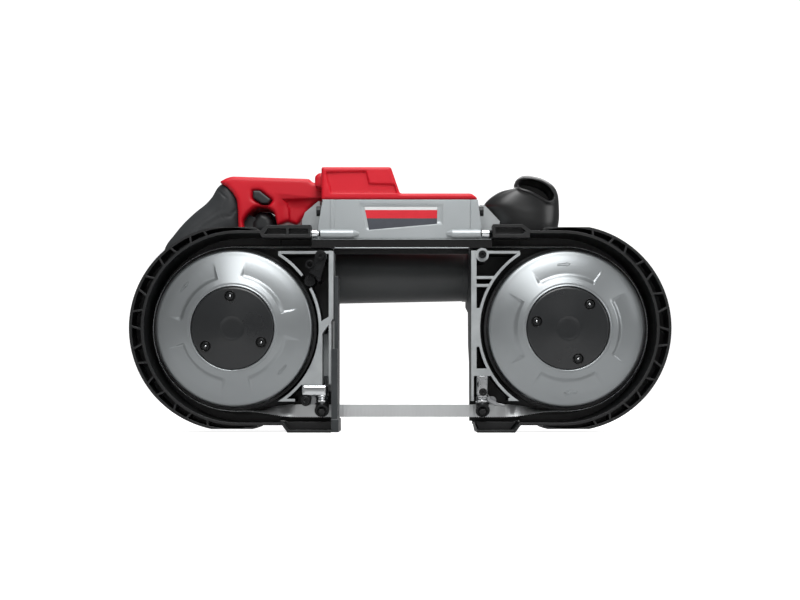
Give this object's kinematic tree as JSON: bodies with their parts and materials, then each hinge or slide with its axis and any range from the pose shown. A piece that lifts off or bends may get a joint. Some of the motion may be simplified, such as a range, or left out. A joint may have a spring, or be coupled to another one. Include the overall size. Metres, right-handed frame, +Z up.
{
  "type": "portable band saw",
  "caption": "Cordless portable band saw: a blade loop on two guarded wheels crosses an open throat, below a motor, with a trigger handle and a front handle.",
  "frame": {"origin": "bottom centre of the overall box, on the ground the saw stands on", "axes": "+X along the blade from the drive wheel to the idler wheel, +Y from the blade side to the operator's side, +Z up"},
  "size_m": [0.516, 0.132, 0.2572],
  "materials": {
    "cast_aluminium": "satin",
    "wheel_alloy": "satin",
    "black_plastic": "matt",
    "red_plastic": "satin",
    "black_rubber": "matt",
    "tyre_rubber": "matt",
    "machined_steel": "satin",
    "bright_chrome": "polished",
    "dark_screws": "satin",
    "dark_caps": "satin",
    "shoe_steel": "satin",
    "plate_silver": "satin",
    "board_green": "satin"
  },
  "bodies": {
    "frame": {"frame_casting": "cast_aluminium", "drive_guard": "black_plastic", "idler_guard": "black_plastic", "blade_cover": "black_plastic", "upper_housing": "cast_aluminium", "label_plate": "plate_silver", "gear_case": "cast_aluminium", "motor_housing": "black_plastic", "motor_end_cap": "black_plastic", "stator": "machined_steel", "shaft_bearings": "machined_steel", "handle_shell_front": "red_plastic", "handle_shell_rear": "red_plastic", "battery_rails": "black_plastic", "main_grip": "black_rubber", "front_handle": "black_rubber", "battery_terminals": "black_plastic", "trigger_switch": "black_plastic", "control_board": "board_green", "guide_block_left": "cast_aluminium", "guide_block_right": "cast_aluminium", "guide_pins": "machined_steel", "guide_studs": "bright_chrome", "guard_rods": "bright_chrome", "housing_screws": "dark_screws", "frame_screws": "dark_screws", "wheel_brush": "black_plastic", "brush_bracket": "dark_screws", "rear_feet": "black_rubber", "blade": "machined_steel"},
    "drive_unit": {"drive_wheel": "wheel_alloy", "drive_tyre": "tyre_rubber", "drive_hub_cap": "dark_caps", "drive_cap_screws": "dark_screws", "drive_shaft": "machined_steel", "output_gear": "machined_steel"},
    "layshaft_unit": {"layshaft": "machined_steel", "bevel_gear": "machined_steel"},
    "rotor_unit": {"motor_shaft": "machined_steel", "rotor_core": "machined_steel", "cooling_fan": "black_plastic", "bevel_pinion": "machined_steel"},
    "carriage": {"idler_carriage": "cast_aluminium", "idler_axle": "machined_steel", "tension_spring": "machined_steel"},
    "idler_unit": {"idler_wheel": "wheel_alloy", "idler_tyre": "tyre_rubber", "idler_hub_cap": "dark_caps", "idler_cap_screws": "dark_screws", "idler_bearings": "machined_steel"},
    "lever": {"tension_lever": "dark_caps"},
    "trigger_body": {"trigger": "black_plastic"},
    "lock_body": {"lock_button": "black_plastic"},
    "shoe_body": {"shoe": "shoe_steel"},
    "left_front_roller_body": {"left_front_roller": "machined_steel"},
    "left_rear_roller_body": {"left_rear_roller": "machined_steel"},
    "left_back_roller_body": {"left_back_roller": "machined_steel"},
    "right_front_roller_body": {"right_front_roller": "machined_steel"},
    "right_rear_roller_body": {"right_rear_roller": "machined_steel"},
    "right_back_roller_body": {"right_back_roller": "machined_steel"}
  },
  "joints": [
    {"name": "drive_spin", "type": "hinge", "parent": "frame", "child": "drive_unit", "pos_m": [-0.16, 0, 0.0995], "axis": [0, 1, 0], "continuous": true},
    {"name": "layshaft_spin", "type": "hinge", "parent": "frame", "child": "layshaft_unit", "pos_m": [-0.12507, 0, 0.1555], "axis": [0, 1, 0], "continuous": true},
    {"name": "rotor_spin", "type": "hinge", "parent": "frame", "child": "rotor_unit", "pos_m": [0, 0.014, 0.1555], "axis": [1, 0, 0], "continuous": true},
    {"name": "tension_swing", "type": "hinge", "parent": "frame", "child": "lever", "pos_m": [0.097, 0, 0.0995], "axis": [0, -1, 0], "range_deg": [0, 180]},
    {"name": "carriage_slide", "type": "slide", "parent": "frame", "child": "carriage", "axis": [-1, 0, 0], "range_m": [0, 0.0035]},
    {"name": "idler_spin", "type": "hinge", "parent": "carriage", "child": "idler_unit", "pos_m": [0.16, 0, 0.0995], "axis": [0, 1, 0], "continuous": true},
    {"name": "trigger_press", "type": "slide", "parent": "frame", "child": "trigger_body", "axis": [-1, 0, 0], "range_m": [0, 0.006], "stiffness_N_per_m": 600},
    {"name": "lock_press", "type": "slide", "parent": "frame", "child": "lock_body", "axis": [0, 1, 0], "range_m": [0, 0.003], "stiffness_N_per_m": 400},
    {"name": "shoe_slide", "type": "slide", "parent": "frame", "child": "shoe_body", "axis": [0, 0, 1], "range_m": [0, 0.025]},
    {"name": "left_front_roller_spin", "type": "hinge", "parent": "frame", "child": "left_front_roller_body", "pos_m": [-0.075, -0.04145, 0.0267], "axis": [0, 0, 1], "continuous": true},
    {"name": "left_rear_roller_spin", "type": "hinge", "parent": "frame", "child": "left_rear_roller_body", "pos_m": [-0.075, -0.03185, 0.0267], "axis": [0, 0, 1], "continuous": true},
    {"name": "left_back_roller_spin", "type": "hinge", "parent": "frame", "child": "left_back_roller_body", "pos_m": [-0.0855, -0.0368, 0.0303], "axis": [0, 1, 0], "continuous": true},
    {"name": "right_front_roller_spin", "type": "hinge", "parent": "frame", "child": "right_front_roller_body", "pos_m": [0.0788, -0.04145, 0.0267], "axis": [0, 0, 1], "continuous": true},
    {"name": "right_rear_roller_spin", "type": "hinge", "parent": "frame", "child": "right_rear_roller_body", "pos_m": [0.0788, -0.03185, 0.0267], "axis": [0, 0, 1], "continuous": true},
    {"name": "right_back_roller_spin", "type": "hinge", "parent": "frame", "child": "right_back_roller_body", "pos_m": [0.0893, -0.0368, 0.0303], "axis": [0, 1, 0], "continuous": true}
  ],
  "couplings": [
    {"joint": "layshaft_spin", "follows": "drive_spin", "ratio": -5.2857},
    {"joint": "rotor_spin", "follows": "drive_spin", "ratio": -21.143},
    {"joint": "idler_spin", "follows": "drive_spin", "ratio": 1},
    {"joint": "tension_swing", "follows": "carriage_slide", "rad_per_m": 897.6},
    {"joint": "left_front_roller_spin", "follows": "drive_spin", "ratio": 17.689},
    {"joint": "left_rear_roller_spin", "follows": "drive_spin", "ratio": -17.689},
    {"joint": "left_back_roller_spin", "follows": "drive_spin", "ratio": 19.9},
    {"joint": "right_front_roller_spin", "follows": "drive_spin", "ratio": 17.689},
    {"joint": "right_rear_roller_spin", "follows": "drive_spin", "ratio": -17.689},
    {"joint": "right_back_roller_spin", "follows": "drive_spin", "ratio": 19.9}
  ]
}
